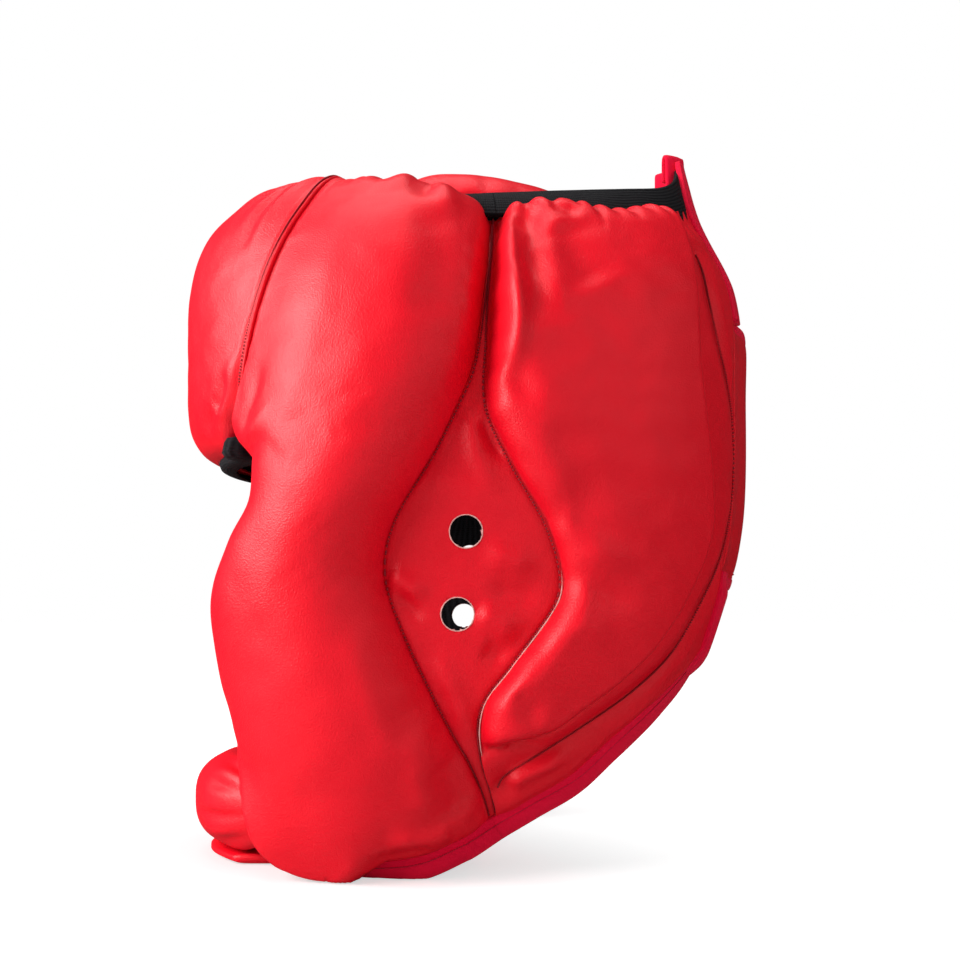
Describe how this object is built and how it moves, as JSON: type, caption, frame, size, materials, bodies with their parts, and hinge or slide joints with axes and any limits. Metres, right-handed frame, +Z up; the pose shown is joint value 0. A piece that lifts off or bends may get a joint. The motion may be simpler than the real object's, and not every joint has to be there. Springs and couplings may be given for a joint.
{
  "type": "boxing headgear",
  "caption": "Padded boxing headgear: brow pad, side bolsters, ear panels with sound holes, swinging rear panels, rear closure tab, crown pad, chin roll and chin strap.",
  "frame": {"origin": "on the ground under the middle of the headgear's bounding box, level with the ear holes", "axes": "+Z up; the wearer looks along -Y; +X is the wearer's left"},
  "size_m": [0.1994, 0.2409, 0.2924],
  "materials": {
    "leather": "semi-gloss red coated leather with a fine grain",
    "binding": "matte crimson woven edge tape",
    "foam": "matte closed-cell foam, hidden inside the covers",
    "lining": "matte black knitted lining",
    "elastic": "matte black ribbed elastic",
    "hook_and_loop": "matte black hook-and-loop fastener"
  },
  "bodies": {
    "shell": {"brow_cover": "leather", "brow_foam": "foam", "brow_lining": "lining", "left_bolster_cover": "leather", "left_bolster_foam": "foam", "left_bolster_lining": "lining", "right_bolster_cover": "leather", "right_bolster_foam": "foam", "right_bolster_lining": "lining", "left_ear_panel": "leather", "left_ear_lining": "lining", "right_ear_panel": "leather", "right_ear_lining": "lining", "left_jaw_binding": "binding", "right_jaw_binding": "binding", "left_band_anchor": "elastic", "right_band_anchor": "elastic", "crown_elastic": "elastic", "chin_cover": "leather", "chin_foam": "foam", "chin_loop_patch": "hook_and_loop"},
    "left_rear": {"left_rear_cover": "leather", "left_rear_foam": "foam", "left_rear_lining": "lining", "left_elastic_band": "elastic", "left_lower_binding": "binding", "left_back_binding": "binding"},
    "right_rear": {"right_rear_cover": "leather", "right_rear_foam": "foam", "right_rear_lining": "lining", "right_elastic_band": "elastic", "right_lower_binding": "binding", "right_back_binding": "binding", "right_loop_patch": "hook_and_loop"},
    "closure_tab": {"closure_tab": "leather", "closure_tab_hook": "hook_and_loop", "closure_tab_binding": "binding"},
    "crown": {"crown_cover": "leather", "crown_foam": "foam", "crown_lining": "lining"},
    "chin_strap": {"chin_strap": "leather"}
  },
  "joints": [
    {"name": "left_rear_swing", "type": "hinge", "parent": "shell", "child": "left_rear", "pos_m": [0.093, -0.0008, 0.13], "axis": [0, 0, -1], "range_deg": [0, 32]},
    {"name": "right_rear_swing", "type": "hinge", "parent": "shell", "child": "right_rear", "pos_m": [-0.093, -0.0008, 0.13], "axis": [0, 0, 1], "range_deg": [0, 32]},
    {"name": "closure_tab_peel", "type": "hinge", "parent": "left_rear", "child": "closure_tab", "pos_m": [0.031, 0.10799, 0.16657], "axis": [0, 0, -1], "range_deg": [0, 64]},
    {"name": "crown_lift", "type": "hinge", "parent": "shell", "child": "crown", "pos_m": [0, -0.0338, 0.27], "axis": [1, 0, 0], "range_deg": [0, 60]},
    {"name": "chin_strap_release", "type": "hinge", "parent": "shell", "child": "chin_strap", "pos_m": [-0.038, -0.0788, 0.0017], "axis": [0, 1, 0], "range_deg": [0, 75]}
  ],
  "couplings": [
    {"joint": "right_rear_swing", "follows": "left_rear_swing", "ratio": 1},
    {"joint": "closure_tab_peel", "follows": "left_rear_swing", "ratio": 2}
  ]
}
